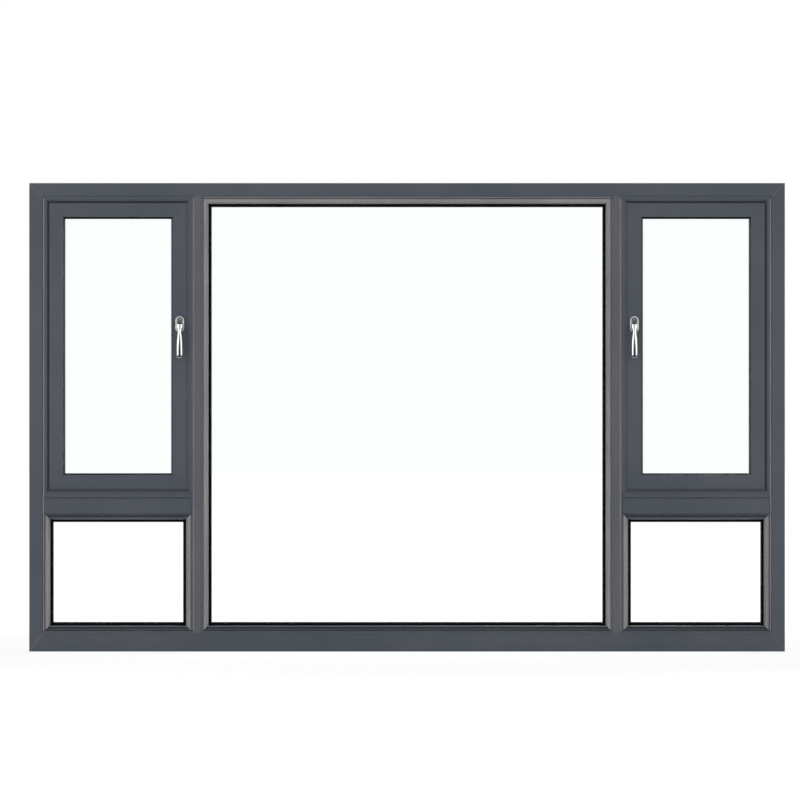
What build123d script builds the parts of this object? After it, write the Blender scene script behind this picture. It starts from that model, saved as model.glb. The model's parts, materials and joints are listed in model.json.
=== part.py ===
from build123d import *
import math
import os
from dataclasses import dataclass

# Casement window of extruded aluminium, in millimetres. X runs along the window, Y through it with the room
# on the -Y side, Z up. The origin is on the underside of the sill, at mid length and mid depth.

# Outer frame
FRAME_WIDTH = 2400.0
FRAME_HEIGHT = 1488.0
FRAME_DEPTH = 75.0
JAMB_FACE = 49.0
HEAD_FACE = 49.0
SILL_FACE = 66.0
MULLION_FACE = 38.0
TRANSOM_FACE = 66.0
SIDE_BAY_WIDTH = 465.0
LOWER_BAY_HEIGHT = 371.0
WALL = 2.0
RIDGE_WIDTH = 8.0
RIDGE_DROP = 2.5
CLEAT_LEG = 70.0
CONNECTOR_LENGTH = 45.0
SLIP = 0.3
CUT_EXTRA = 1.0

# Fixing holes of the frame
FIXING_RADIUS = 4.0
JAMB_FIXING_FROM_SILL = 250.0
JAMB_FIXING_FROM_HEAD = 168.0
HEAD_FIXING_HALF_SPACING = 400.0

# Insulating glass, its rubbers and its setting blocks
PANE = 5.0
PANE_GAP = 12.0
GASKET = 4.0
GASKET_SETBACK = 2.5
BLOCK_LENGTH = 100.0
BLOCK_PLACES = (0.25, 0.75)

# Fixed lights, depths measured into the opening from the edge of the frame
BEAD_RECESS = 4.5
BEAD_NOSE = 2.0
BEAD_SIGHT = 18.0
BEAD_BEVEL_DEPTH = 21.0
BEAD_DEPTH = 32.5
FIXED_GLASS_EDGE = 10.0
FIXED_GASKET_SIGHT = 24.0
FIXED_SPACER_SIGHT = 26.5
STOP_SIGHT = 22.0
STOP_BEVEL = 4.0

# Surround of a sash
LIP_RECESS = 1.5
LIP_SIGHT = 9.0
LIP_DEPTH = 18.0
CARRIER_DEPTH = 23.0
SEAL_REACH = 4.0
SEAL_DEPTH = 3.5

# Sash
SASH_GAP = 14.0
SASH_RECESS = 6.5
SASH_FACE = 44.5
SASH_TUBE = 24.0
SASH_REBATE_DEPTH = 25.0
SASH_LAP = 8.0
LAP_CLEARANCE = 0.5
LAP_THICKNESS = 8.0
SASH_GLASS_INSET = 8.0
SASH_GASKET_SIGHT = 4.5
SASH_BEAD_SIGHT = 18.0
SASH_BEAD_BEVEL = 8.0
SASH_SPACER_WIDTH = 15.5
SASH_CLEAT_LEG = 50.0

# Barrel hinges on the outer face
HINGE_HEIGHT = 90.0
HINGE_FROM_CORNER = 130.0
BARREL_RADIUS = 8.0
BARREL_CLEARANCE = 2.0
HINGE_PIN_RADIUS = 4.0
HINGE_PIN_PLAY = 0.05
KNUCKLE_GAP = 0.3
LEAF_THICKNESS = 3.0
FRAME_LEAF_WIDTH = 24.0
SASH_LEAF_WIDTH = 34.0
PIN_HEAD_RADIUS = 6.0
PIN_HEAD_HEIGHT = 3.0

# Handle
HANDLE_RISE = 524.0
HANDLE_FROM_EDGE = 22.0
BASE_WIDTH = 29.0
BASE_HEIGHT = 54.0
BASE_THICKNESS = 9.0
BASE_ROUNDING = 3.0
DISH_RADIUS = 8.5
DISH_DEPTH = 3.0
PLUG_RADIUS = 6.0
PLUG_DROP = 1.0
LEVER_REACH = 95.0
LEVER_STANDOFF = 16.0
LEVER_THICKNESS = 10.0
LEVER_WAIST = 7.0
LEVER_NECK = 25.0
LEVER_SHOULDER = 10.6
LEVER_CROWN = 6.0
LEVER_END = 9.7
LEVER_END_LENGTH = 28.5
HUB_RADIUS = 12.5
SPINDLE = 7.0
SPINDLE_PLAY = 0.1
SPINDLE_HOLE_RADIUS = 6.0

# Lock: a pinion on the spindle drives a rod with two pins
GEAR_MODULE = 1.5
PINION_TEETH = 16
BACKLASH = 0.35
PINION_MARGIN = 1.0
ADDENDUM = 1.2
DEDENDUM = 1.6
FLANK_SLOPE = math.tan(math.radians(20))
LOCK_PLANE = 16.5
ROD_BREADTH = 11.0
ROD_END_GAP = 6.0
ROD_CLEARANCE = 0.4
RACK_TEETH_BELOW = 3
RACK_TEETH_ABOVE = 7
LOCK_PIN_RADIUS = 3.8
LOCK_PIN_FROM_CORNER = 142.0
LOCK_PIN_TIP = 5.5
LOCK_PIN_SETBACK = 2.5
KEEPER_LENGTH = 24.0
KEEPER_PLATE = 2.0
KEEPER_CHEEK = 4.5
KEEPER_REACH = 9.0
KEEPER_CLEARANCE = 2.7
CHEEK_CLEARANCE = 0.7

# Planes through the depth of the window
ROOM_FACE = -FRAME_DEPTH / 2
OUTER_FACE = FRAME_DEPTH / 2
BEAD_FRONT = ROOM_FACE + BEAD_RECESS
FIXED_GLASS_FRONT = BEAD_FRONT + BEAD_DEPTH + GASKET
UNIT = 2 * PANE + PANE_GAP
STOP_FRONT = FIXED_GLASS_FRONT + UNIT + GASKET
LIP_FRONT = ROOM_FACE + LIP_RECESS
LIP_BACK = LIP_FRONT + LIP_DEPTH
SASH_FRONT = ROOM_FACE + SASH_RECESS
SASH_REBATE = SASH_FRONT + SASH_REBATE_DEPTH
LAP_FRONT = OUTER_FACE + LAP_CLEARANCE
SASH_BACK = LAP_FRONT + LAP_THICKNESS
SASH_GLASS_FRONT = SASH_REBATE + GASKET
SASH_BEAD_FRONT = SASH_GLASS_FRONT + UNIT + GASKET
BASE_FRONT = SASH_FRONT - BASE_THICKNESS
FIXING_PLANE = FIXED_GLASS_FRONT + UNIT / 2
LOCK_Y = SASH_FRONT + LOCK_PLANE
LOCK_PIN_Y = LOCK_Y + LOCK_PIN_SETBACK

# Depths from the edge of a sash bay
SASH_SIGHT = SASH_GAP + SASH_FACE
SASH_SEAT = SASH_GAP + SASH_TUBE
SASH_GLASS_EDGE = SASH_SEAT + SASH_GLASS_INSET
SASH_CHAMBER = SASH_GAP + WALL
SASH_CLEAT_REACH = SASH_SEAT - WALL - SLIP

PITCH_RADIUS = GEAR_MODULE * PINION_TEETH / 2
GEAR_PITCH = math.pi * GEAR_MODULE
TRAVEL = PITCH_RADIUS * math.pi / 2


@dataclass(frozen=True)
class Rect:
    """An upright rectangle in the plane of the window."""

    x0: float
    z0: float
    x1: float
    z1: float

    def inset(self, depth):
        return Rect(self.x0 + depth, self.z0 + depth, self.x1 - depth, self.z1 - depth)

    def corners(self, side):
        """The two ends of a side, in the direction that the side's section is drawn along."""
        ends = {
            "bottom": ((self.x1, self.z0), (self.x0, self.z0)),
            "top": ((self.x0, self.z1), (self.x1, self.z1)),
            "left": ((self.x0, self.z0), (self.x0, self.z1)),
            "right": ((self.x1, self.z1), (self.x1, self.z0)),
        }
        return ends[side]


# Each side's direction into the rectangle
INWARD = {"bottom": (0, 0, 1), "top": (0, 0, -1), "left": (1, 0, 0), "right": (-1, 0, 0)}

FRAME = Rect(-FRAME_WIDTH / 2, 0, FRAME_WIDTH / 2, FRAME_HEIGHT)
FRAME_OPENING = Rect(FRAME.x0 + JAMB_FACE, SILL_FACE, FRAME.x1 - JAMB_FACE, FRAME.z1 - HEAD_FACE)
BAY_EDGE = FRAME_OPENING.x0 + SIDE_BAY_WIDTH
PICTURE_LIGHT = Rect(
    BAY_EDGE + MULLION_FACE, FRAME_OPENING.z0, -BAY_EDGE - MULLION_FACE, FRAME_OPENING.z1
)
LOWER_LIGHT = Rect(FRAME_OPENING.x0, SILL_FACE, BAY_EDGE, SILL_FACE + LOWER_BAY_HEIGHT)
SASH_BAY = Rect(FRAME_OPENING.x0, LOWER_LIGHT.z1 + TRANSOM_FACE, BAY_EDGE, FRAME_OPENING.z1)
HANDLE_X = SASH_BAY.x1 - SASH_GAP - HANDLE_FROM_EDGE
HANDLE_Z = SASH_BAY.z0 + HANDLE_RISE
HINGE_X = SASH_BAY.x0 - SASH_LAP - BARREL_CLEARANCE - BARREL_RADIUS
HINGE_Y = OUTER_FACE + BARREL_RADIUS + LAP_CLEARANCE


# Basic shapes


def block(x0, x1, y0, y1, z0, z1):
    """A box between two corners."""
    centre = Pos((x0 + x1) / 2, (y0 + y1) / 2, (z0 + z1) / 2)
    return centre * Box(abs(x1 - x0), abs(y1 - y0), abs(z1 - z0))


def plate(rect, y0, y1):
    """A flat plate that fills a rectangle."""
    return block(rect.x0, rect.x1, y0, y1, rect.z0, rect.z1)


def ring(rect, depth0, depth1, y0, y1):
    """A plain rectangular ring, from one depth inside a rectangle to another."""
    return plate(rect.inset(depth0), y0, y1) - plate(rect.inset(depth1), y0, y1)


def section(points, voids=()):
    """A face from its outline and the outlines of its chambers, as (depth, y) points."""
    face = make_face(Polyline(*points, close=True))
    for outline in voids:
        face -= make_face(Polyline(*outline, close=True))
    return face


def box_outline(depth0, depth1, y0, y1):
    return [(depth0, y0), (depth1, y0), (depth1, y1), (depth0, y1)]


def strip(side, rect, points, voids=(), mitre_to=None):
    """An extrusion along one side of a rectangle, mitred at both ends."""
    depths = [point[0] for point in points]
    outer = rect.inset(min(depths))
    inner = mitre_to or rect.inset(max(depths))
    start, end = outer.corners(side)
    inner_start, inner_end = inner.corners(side)
    run = Vector(end[0] - start[0], 0, end[1] - start[1])
    inward = Vector(*INWARD[side])
    origin = Vector(start[0], 0, start[1]) - inward * min(depths)
    plane = Plane(origin=origin, x_dir=inward, z_dir=run)
    bar = extrude(plane * section(points, voids), amount=run.length, dir=run.normalized())
    mitre = make_face(Polyline(start, end, inner_end, inner_start, close=True))
    return bar & extrude(Plane.XZ * mitre, amount=2 * FRAME_DEPTH, both=True)


def four_strips(rect, points, voids=()):
    """Four mitred strips round a rectangle."""
    return [strip(side, rect, points, voids) for side in INWARD]


def cylinder(x, y, z, radius, length, axis):
    """A cylinder that starts at a point and runs along an axis."""
    plane = Plane(origin=(x, y, z), z_dir=axis)
    return extrude(plane * Circle(radius), amount=length)


# Outer frame


def bar_outline(face, ridge_at_start, ridge_at_end=True):
    """Section of a frame bar: a flat face towards the room, with a lower ridge along its glass edges."""
    ridge_face = ROOM_FACE + RIDGE_DROP
    points = []
    if ridge_at_start:
        points += [(0, ridge_face), (RIDGE_WIDTH - RIDGE_DROP, ridge_face), (RIDGE_WIDTH, ROOM_FACE)]
    else:
        points += [(0, ROOM_FACE)]
    if ridge_at_end:
        points += [(face - RIDGE_WIDTH, ROOM_FACE)]
        points += [(face - RIDGE_WIDTH + RIDGE_DROP, ridge_face), (face, ridge_face)]
    return points + [(face, OUTER_FACE), (0, OUTER_FACE)]


def bar_chambers(face):
    """The two chambers of a frame bar, on each side of its middle web."""
    room_chamber = box_outline(WALL, face - WALL, ROOM_FACE + RIDGE_DROP + WALL, -WALL / 2)
    outer_chamber = box_outline(WALL, face - WALL, WALL / 2, OUTER_FACE - WALL)
    return [room_chamber, outer_chamber]


def frame_bar(side, face, hollow=True):
    """One mitred bar of the outer frame."""
    chambers = bar_chambers(face) if hollow else ()
    return strip(side, FRAME, bar_outline(face, False), chambers, mitre_to=FRAME_OPENING)


def fitted_bar(start, inward, run, face, length, neighbours):
    """A mullion or transom whose ends are cut to the shape of the bars that they meet."""
    direction = Vector(*run)
    origin = Vector(*start) - direction * RIDGE_WIDTH
    plane = Plane(origin=origin, x_dir=inward, z_dir=run)
    profile = section(bar_outline(face, True), bar_chambers(face))
    bar = extrude(plane * profile, amount=length + 2 * RIDGE_WIDTH, dir=direction)
    for neighbour in neighbours:
        bar -= neighbour
    return bar


def frame_bars():
    """The eight bars of the frame, with the fixing holes of the head and the jambs."""
    head_blank = frame_bar("top", HEAD_FACE, hollow=False)
    sill_blank = frame_bar("bottom", SILL_FACE, hollow=False)
    jamb_blank = frame_bar("left", JAMB_FACE, hollow=False)
    head_cut = HEAD_FACE + 2 * CUT_EXTRA
    jamb_cut = JAMB_FACE + 2 * CUT_EXTRA
    head = frame_bar("top", HEAD_FACE)
    for x in (-HEAD_FIXING_HALF_SPACING, HEAD_FIXING_HALF_SPACING):
        head -= cylinder(x, FIXING_PLANE, FRAME_OPENING.z1 - CUT_EXTRA, FIXING_RADIUS, head_cut, (0, 0, 1))
    jamb = frame_bar("left", JAMB_FACE)
    for z in (FRAME.z0 + JAMB_FIXING_FROM_SILL, FRAME.z1 - JAMB_FIXING_FROM_HEAD):
        jamb -= cylinder(FRAME.x0 - CUT_EXTRA, FIXING_PLANE, z, FIXING_RADIUS, jamb_cut, (1, 0, 0))
    mullion_length = FRAME_OPENING.z1 - FRAME_OPENING.z0
    mullion_foot = (BAY_EDGE, 0, FRAME_OPENING.z0)
    mullion = fitted_bar(
        mullion_foot, (1, 0, 0), (0, 0, 1), MULLION_FACE, mullion_length, [head_blank, sill_blank]
    )
    mullion_plane = Plane(origin=mullion_foot, x_dir=(1, 0, 0), z_dir=(0, 0, 1))
    mullion_section = mullion_plane * section(bar_outline(MULLION_FACE, True))
    mullion_blank = extrude(mullion_section, amount=mullion_length, dir=(0, 0, 1))
    transom = fitted_bar(
        (BAY_EDGE, 0, LOWER_LIGHT.z1),
        (0, 0, 1),
        (-1, 0, 0),
        TRANSOM_FACE,
        SIDE_BAY_WIDTH,
        [jamb_blank, mullion_blank],
    )
    return head, frame_bar("bottom", SILL_FACE), jamb, mullion, transom


def corner_cleats(rect, near, reach, leg, y0, y1):
    """Angle cleats in the outer chambers of the four corners.

    near is the depth where a chamber starts, and reach gives the depth where one side's chamber ends
    beside the other side of its corner.
    """
    cleats = []
    for upright in ("left", "right"):
        for level in ("bottom", "top"):
            sign_x = INWARD[upright][0]
            sign_z = INWARD[level][2]
            edge_x = rect.x0 if upright == "left" else rect.x1
            edge_z = rect.z0 if level == "bottom" else rect.z1
            x0 = edge_x + sign_x * near
            z0 = edge_z + sign_z * near
            x1 = edge_x + sign_x * reach(upright, level)
            z1 = edge_z + sign_z * reach(level, upright)
            post = block(x0, x1, y0, y1, z0, z1 + sign_z * leg)
            rail = block(x0, x1 + sign_x * leg, y0, y1, z0, z1)
            cleats.append(post + rail)
    return cleats


def frame_cleats():
    widths = {"left": JAMB_FACE, "right": JAMB_FACE, "top": HEAD_FACE, "bottom": SILL_FACE}

    def reach(side, other):
        """At a mitre of unequal bars, the wall of the narrow one limits the chamber of the wide one."""
        at_mitre = (widths[other] - WALL) * widths[side] / widths[other]
        return min(widths[side] - WALL, at_mitre) - SLIP

    return corner_cleats(FRAME, WALL + SLIP, reach, CLEAT_LEG, WALL / 2 + SLIP, OUTER_FACE - WALL - SLIP)


def left_connectors():
    """Blocks that join the ends of the left mullion and transom to the bars that they meet."""
    y0 = WALL / 2 + SLIP
    y1 = OUTER_FACE - WALL - SLIP
    margin = WALL + SLIP
    x0 = BAY_EDGE + margin
    x1 = BAY_EDGE + MULLION_FACE - margin
    z0 = LOWER_LIGHT.z1 + margin
    z1 = SASH_BAY.z0 - margin
    top = FRAME_OPENING.z1
    return [
        block(x0, x1, y0, y1, SILL_FACE, SILL_FACE + CONNECTOR_LENGTH),
        block(x0, x1, y0, y1, top - CONNECTOR_LENGTH, top),
        block(FRAME_OPENING.x0, FRAME_OPENING.x0 + CONNECTOR_LENGTH, y0, y1, z0, z1),
        block(BAY_EDGE - CONNECTOR_LENGTH, BAY_EDGE, y0, y1, z0, z1),
    ]


# Glass


def glass_unit(rect, edge, spacer_sight, front):
    """Two panes and the spacer between them."""
    pane_rect = rect.inset(edge)
    back_pane = front + PANE + PANE_GAP
    panes = [plate(pane_rect, front, front + PANE), plate(pane_rect, back_pane, back_pane + PANE)]
    return panes, [ring(rect, edge, spacer_sight, front + PANE, back_pane)]


def glazing_rubbers(rect, seat, edge, room_sight, outer_sight, front):
    """The gasket on each face of a glass unit, and the blocks that the unit stands on."""
    back = front + UNIT
    room_gasket = ring(rect, edge + GASKET_SETBACK, room_sight, front - GASKET, front)
    outer_gasket = ring(rect, edge + GASKET_SETBACK, outer_sight, back, back + GASKET)
    blocks = []
    for place in BLOCK_PLACES:
        x0 = rect.x0 + place * (rect.x1 - rect.x0) - BLOCK_LENGTH / 2
        blocks.append(block(x0, x0 + BLOCK_LENGTH, front, back, rect.z0 + seat, rect.z0 + edge))
    return [room_gasket, outer_gasket, *blocks]


def fixed_light(rect):
    """Everything that glazes one fixed light."""
    bead_back = BEAD_FRONT + BEAD_DEPTH
    bead = [
        (0, BEAD_FRONT),
        (BEAD_NOSE, BEAD_FRONT),
        (BEAD_SIGHT, BEAD_FRONT + BEAD_BEVEL_DEPTH),
        (BEAD_SIGHT, bead_back),
        (0, bead_back),
    ]
    stop = [
        (0, STOP_FRONT),
        (STOP_SIGHT, STOP_FRONT),
        (STOP_SIGHT, OUTER_FACE - STOP_BEVEL),
        (STOP_SIGHT - STOP_BEVEL, OUTER_FACE),
        (0, OUTER_FACE),
    ]
    panes, spacer = glass_unit(rect, FIXED_GLASS_EDGE, FIXED_SPACER_SIGHT, FIXED_GLASS_FRONT)
    rubbers = glazing_rubbers(rect, 0, FIXED_GLASS_EDGE, FIXED_GASKET_SIGHT, STOP_SIGHT, FIXED_GLASS_FRONT)
    return {
        "panes": panes,
        "spacer": spacer,
        "glazing_rubbers": rubbers,
        "beads": four_strips(rect, bead),
        "stops": four_strips(rect, stop),
    }


# Left sash, which opens outwards on the hinges of the left jamb


def surround():
    """The strips round the sash that the sash closes behind, towards the room."""
    return four_strips(SASH_BAY, box_outline(0, LIP_SIGHT, LIP_FRONT, LIP_BACK))


def carrier_strips():
    """Flat strips along the edge of the frame that the surround clips to and the keepers are screwed to."""
    return four_strips(SASH_BAY, box_outline(0, WALL, LIP_BACK, LIP_BACK + CARRIER_DEPTH))


def lip_seal():
    """The rubber seal on the edge of the lip."""
    return ring(SASH_BAY, LIP_SIGHT, LIP_SIGHT + SEAL_REACH, SASH_FRONT, SASH_FRONT + SEAL_DEPTH)


def sash_bars():
    """The four mitred bars of the sash, by side."""
    outline = [
        (SASH_GAP, SASH_FRONT),
        (SASH_SIGHT, SASH_FRONT),
        (SASH_SIGHT, SASH_REBATE),
        (SASH_SEAT, SASH_REBATE),
        (SASH_SEAT, SASH_BACK),
        (-SASH_LAP, SASH_BACK),
        (-SASH_LAP, LAP_FRONT),
        (SASH_GAP, LAP_FRONT),
    ]
    chamber = [
        (SASH_CHAMBER, SASH_FRONT + WALL),
        (SASH_SIGHT - WALL, SASH_FRONT + WALL),
        (SASH_SIGHT - WALL, SASH_REBATE - WALL),
        (SASH_SEAT - WALL, SASH_REBATE - WALL),
        (SASH_SEAT - WALL, SASH_BACK - WALL),
        (SASH_CHAMBER, SASH_BACK - WALL),
    ]
    bars = {side: strip(side, SASH_BAY, outline, [chamber]) for side in INWARD}
    edge = SASH_BAY.x1 - SASH_GAP
    lock_stile = bars["right"]
    spindle_cut = WALL + 2 * CUT_EXTRA
    lock_stile -= cylinder(
        HANDLE_X, SASH_FRONT - CUT_EXTRA, HANDLE_Z, SPINDLE_HOLE_RADIUS, spindle_cut, (0, 1, 0)
    )
    slot_half = LOCK_PIN_RADIUS + SLIP
    for z in lock_pin_heights():
        lock_stile -= block(
            edge - WALL - CUT_EXTRA,
            edge + CUT_EXTRA,
            LOCK_PIN_Y - slot_half,
            LOCK_PIN_Y + slot_half,
            z - slot_half - TRAVEL,
            z + slot_half,
        )
    bars["right"] = lock_stile
    return bars


def sash_cleats():
    def reach(side, other):
        return SASH_CLEAT_REACH

    near = SASH_CHAMBER + SLIP
    return corner_cleats(SASH_BAY, near, reach, SASH_CLEAT_LEG, SASH_REBATE + SLIP, SASH_BACK - WALL - SLIP)


def sash_beads():
    """Outer beads that hold the glass of the sash."""
    sight = SASH_SEAT + SASH_BEAD_SIGHT
    bead = [
        (SASH_SEAT, SASH_BEAD_FRONT),
        (sight, SASH_BEAD_FRONT),
        (sight, SASH_BACK - SASH_BEAD_BEVEL),
        (sight - SASH_BEAD_BEVEL, SASH_BACK),
        (SASH_SEAT, SASH_BACK),
    ]
    return four_strips(SASH_BAY, bead)


# Hinges


def hinge_heights():
    return SASH_BAY.z0 + HINGE_FROM_CORNER, SASH_BAY.z1 - HINGE_FROM_CORNER


def knuckle(z0, z1):
    return cylinder(HINGE_X, HINGE_Y, z0, BARREL_RADIUS, z1 - z0, (0, 0, 1))


def pin_bore(z):
    bore = HINGE_PIN_RADIUS + HINGE_PIN_PLAY
    return cylinder(HINGE_X, HINGE_Y, z - HINGE_HEIGHT, bore, 2 * HINGE_HEIGHT, (0, 0, 1))


def frame_leaf(z):
    """Leaf screwed to the jamb, with the two outer knuckles."""
    half = HINGE_HEIGHT / 2
    middle_half = HINGE_HEIGHT / 6
    leaf_edge = HINGE_X - BARREL_RADIUS / 2 - FRAME_LEAF_WIDTH
    leaf = block(leaf_edge, HINGE_X, OUTER_FACE, OUTER_FACE + LEAF_THICKNESS, z - half, z + half)
    clear = BARREL_RADIUS + KNUCKLE_GAP
    reach = middle_half + KNUCKLE_GAP
    leaf -= cylinder(HINGE_X, HINGE_Y, z - reach, clear, 2 * reach, (0, 0, 1))
    leaf += knuckle(z - half, z - reach) + knuckle(z + reach, z + half)
    return leaf - pin_bore(z)


def sash_leaf(z):
    """Leaf screwed to the sash, with the middle knuckle."""
    middle_half = HINGE_HEIGHT / 6
    half = HINGE_HEIGHT / 2
    plate_start = SASH_BAY.x0 - SASH_LAP
    leaf_back = SASH_BACK + LEAF_THICKNESS
    leaf = block(plate_start, plate_start + SASH_LEAF_WIDTH, SASH_BACK, leaf_back, z - half, z + half)
    arm = block(HINGE_X, plate_start, SASH_BACK, leaf_back, z - middle_half, z + middle_half)
    return leaf + arm + knuckle(z - middle_half, z + middle_half) - pin_bore(z)


def hinge_pin(z):
    half = HINGE_HEIGHT / 2
    pin = cylinder(HINGE_X, HINGE_Y, z - half, HINGE_PIN_RADIUS, HINGE_HEIGHT, (0, 0, 1))
    for end in (z - half - PIN_HEAD_HEIGHT, z + half):
        pin += cylinder(HINGE_X, HINGE_Y, end, PIN_HEAD_RADIUS, PIN_HEAD_HEIGHT, (0, 0, 1))
    return pin


# Handle and lock


def handle_base():
    """Oval base on the lock stile, with a dished cover above the lever."""
    pivot_drop = (BASE_HEIGHT - BASE_WIDTH) / 2
    plane = Plane(origin=(HANDLE_X, SASH_FRONT, HANDLE_Z + pivot_drop), x_dir=(1, 0, 0), z_dir=(0, -1, 0))
    base = extrude(plane * SlotOverall(BASE_HEIGHT, BASE_WIDTH, rotation=90), amount=BASE_THICKNESS)
    rim = base.faces().sort_by(Axis.Y)[0].edges()
    base = fillet(rim, BASE_ROUNDING)
    dish_z = HANDLE_Z + 2 * pivot_drop
    cut_front = BASE_FRONT - CUT_EXTRA
    spindle_cut = BASE_THICKNESS + 2 * CUT_EXTRA
    base -= cylinder(HANDLE_X, cut_front, dish_z, DISH_RADIUS, DISH_DEPTH + CUT_EXTRA, (0, 1, 0))
    base += cylinder(HANDLE_X, BASE_FRONT + PLUG_DROP, dish_z, PLUG_RADIUS, DISH_DEPTH, (0, 1, 0))
    return base - cylinder(HANDLE_X, cut_front, HANDLE_Z, SPINDLE_HOLE_RADIUS, spindle_cut, (0, 1, 0))


def lever():
    """Lever: a hub on the base and a waisted grip that hangs from it, clear of the sash."""
    back = BASE_FRONT - SLIP
    grip_back = BASE_FRONT - LEVER_STANDOFF
    grip_front = grip_back - LEVER_THICKNESS
    end_top = LEVER_END_LENGTH - LEVER_REACH
    side = make_face(
        Polyline(
            (back, HUB_RADIUS),
            (grip_back, HUB_RADIUS),
            (grip_front, HUB_RADIUS - LEVER_CROWN),
            (grip_front, -LEVER_REACH),
            (grip_back, -LEVER_REACH),
            (grip_back, -LEVER_NECK),
            (back, -HUB_RADIUS),
            close=True,
        )
    )
    side_plane = Plane(origin=(HANDLE_X, 0, HANDLE_Z), x_dir=(0, 1, 0), z_dir=(1, 0, 0))
    side_view = extrude(side_plane * side, amount=BASE_WIDTH, both=True)
    hub = Circle(HUB_RADIUS)
    grip = make_face(
        Polyline(
            (-LEVER_SHOULDER, -HUB_RADIUS / 2),
            (-LEVER_WAIST, -LEVER_NECK),
            (-LEVER_END, end_top),
            (-LEVER_END, -LEVER_REACH),
            (LEVER_END, -LEVER_REACH),
            (LEVER_END, end_top),
            (LEVER_WAIST, -LEVER_NECK),
            (LEVER_SHOULDER, -HUB_RADIUS / 2),
            close=True,
        )
    )
    front_plane = Plane(origin=(HANDLE_X, 0, HANDLE_Z), x_dir=(1, 0, 0), z_dir=(0, -1, 0))
    front_view = extrude(front_plane * (hub + grip), amount=2 * FRAME_DEPTH)
    socket = SPINDLE / 2 + SPINDLE_PLAY
    pocket = block(
        HANDLE_X - socket, HANDLE_X + socket, grip_back, back, HANDLE_Z - socket, HANDLE_Z + socket
    )
    return (side_view & front_view) - pocket


def rack_tooth(z):
    """A tooth of the lock rod, as (x, z) points from the pinion's axis towards the lock edge."""
    root = PITCH_RADIUS + DEDENDUM
    tip = PITCH_RADIUS - ADDENDUM
    half = GEAR_PITCH / 4 - BACKLASH
    wide = half + DEDENDUM * FLANK_SLOPE
    narrow = half - ADDENDUM * FLANK_SLOPE
    return [(root, z - wide), (tip, z - narrow), (tip, z + narrow), (root, z + wide)]


def pinion_outline():
    """Outline of the pinion, with a gap between two teeth towards the lock rod."""
    tip = PITCH_RADIUS + ADDENDUM
    root = PITCH_RADIUS - DEDENDUM
    half = GEAR_PITCH / 4 - BACKLASH
    corners = (
        (root, half + DEDENDUM * FLANK_SLOPE),
        (PITCH_RADIUS, half),
        (tip, half - ADDENDUM * FLANK_SLOPE),
    )
    points = []
    for tooth in range(PINION_TEETH):
        middle = (tooth + 0.5) * 2 * math.pi / PINION_TEETH
        flank = [(radius, -width / radius) for radius, width in corners]
        flank += [(radius, width / radius) for radius, width in reversed(corners)]
        points += [(r * math.cos(middle + a), r * math.sin(middle + a)) for r, a in flank]
    return points


def drive_spindle():
    """Square spindle with the pinion that drives the lock rod."""
    half = SPINDLE / 2
    front = BASE_FRONT - LEVER_STANDOFF + SLIP
    pinion_back = LOCK_Y + ROD_BREADTH / 2 - PINION_MARGIN
    bar = block(HANDLE_X - half, HANDLE_X + half, front, pinion_back, HANDLE_Z - half, HANDLE_Z + half)
    plane = Plane(origin=(HANDLE_X, pinion_back, HANDLE_Z), x_dir=(1, 0, 0), z_dir=(0, -1, 0))
    gear = make_face(Polyline(*pinion_outline(), close=True))
    return bar + extrude(plane * gear, amount=ROD_BREADTH - 2 * PINION_MARGIN)


def lock_pin_heights():
    return SASH_BAY.z0 + LOCK_PIN_FROM_CORNER, SASH_BAY.z1 - LOCK_PIN_FROM_CORNER


def lock_rod():
    """Lock rod inside the lock stile between its corner cleats, with its rack and room to slide down."""
    x0 = HANDLE_X + PITCH_RADIUS + DEDENDUM
    x1 = SASH_BAY.x1 - SASH_CHAMBER - ROD_CLEARANCE
    y0 = LOCK_Y - ROD_BREADTH / 2
    end_gap = SASH_CLEAT_REACH + SASH_CLEAT_LEG + ROD_END_GAP
    z0 = SASH_BAY.z0 + end_gap + TRAVEL
    z1 = SASH_BAY.z1 - end_gap
    rod = block(x0, x1, y0, y0 + ROD_BREADTH, z0, z1)
    plane = Plane(origin=(HANDLE_X, y0 + ROD_BREADTH, HANDLE_Z), x_dir=(1, 0, 0), z_dir=(0, -1, 0))
    for tooth in range(-RACK_TEETH_BELOW, RACK_TEETH_ABOVE + 1):
        outline = rack_tooth(tooth * GEAR_PITCH)
        rod += extrude(plane * make_face(Polyline(*outline, close=True)), amount=ROD_BREADTH)
    return rod


def lock_pin(z):
    start = SASH_BAY.x1 - SASH_CHAMBER - ROD_CLEARANCE
    length = SASH_CHAMBER + ROD_CLEARANCE - LOCK_PIN_TIP
    return cylinder(start, LOCK_PIN_Y, z, LOCK_PIN_RADIUS, length, (1, 0, 0))


def keeper(z):
    """Keeper on a carrier strip, below a lock pin, with a cheek outside the pin's path."""
    top = z - LOCK_PIN_RADIUS - KEEPER_CLEARANCE
    x = SASH_BAY.x1 - WALL
    cheek = LOCK_PIN_Y + LOCK_PIN_RADIUS + CHEEK_CLEARANCE
    base = block(x, x - KEEPER_PLATE, LIP_BACK + SLIP, cheek, top - KEEPER_LENGTH, top)
    side = block(
        x, SASH_BAY.x1 - KEEPER_REACH, cheek, cheek + KEEPER_CHEEK, top - KEEPER_LENGTH, top
    )
    return base + side


# Whole window


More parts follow.
